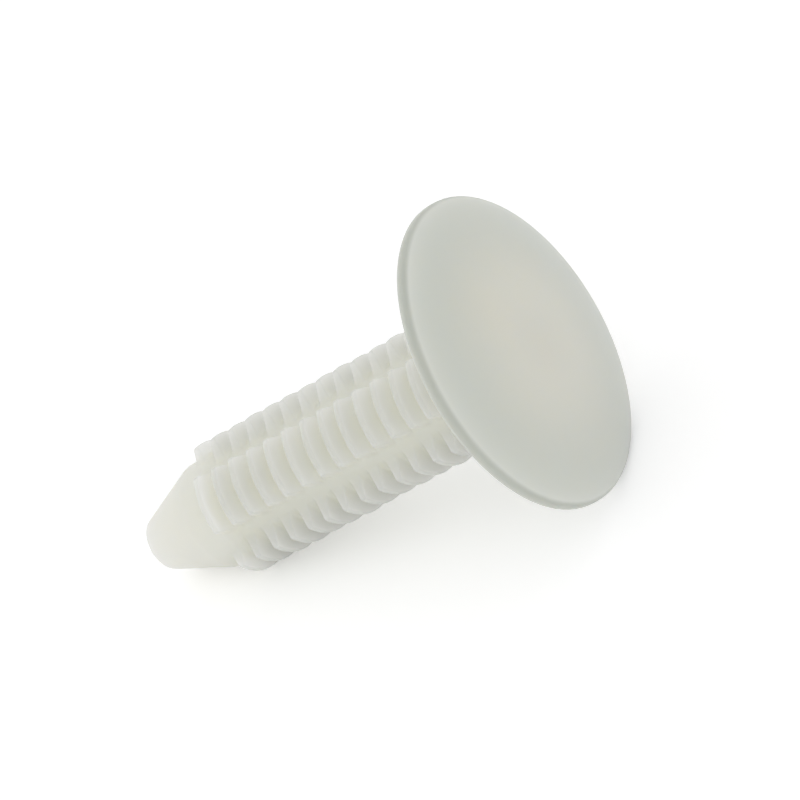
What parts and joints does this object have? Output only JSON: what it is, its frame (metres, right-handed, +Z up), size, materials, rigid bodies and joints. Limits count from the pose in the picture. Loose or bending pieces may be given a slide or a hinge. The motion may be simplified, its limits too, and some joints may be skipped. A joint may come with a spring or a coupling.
{
  "type": "plastic push rivet",
  "caption": "One-piece plastic push rivet with a broad low-domed round head and a straight shank with a cross of barb rows and a smooth blunt conical tip.",
  "frame": {"origin": "on the floor under the middle of the rivet as it lies on its head's rim and its first barbs", "axes": "+Z up, +X level towards the head, so the rivet's own axis rises towards the head by 14.6 degrees in the XZ plane"},
  "size_m": [0.0284, 0.018, 0.0175],
  "materials": {
    "natural_nylon": "satin, slightly translucent moulded nylon"
  },
  "bodies": {
    "root": {"push_rivet": "natural_nylon"}
  },
  "joints": []
}
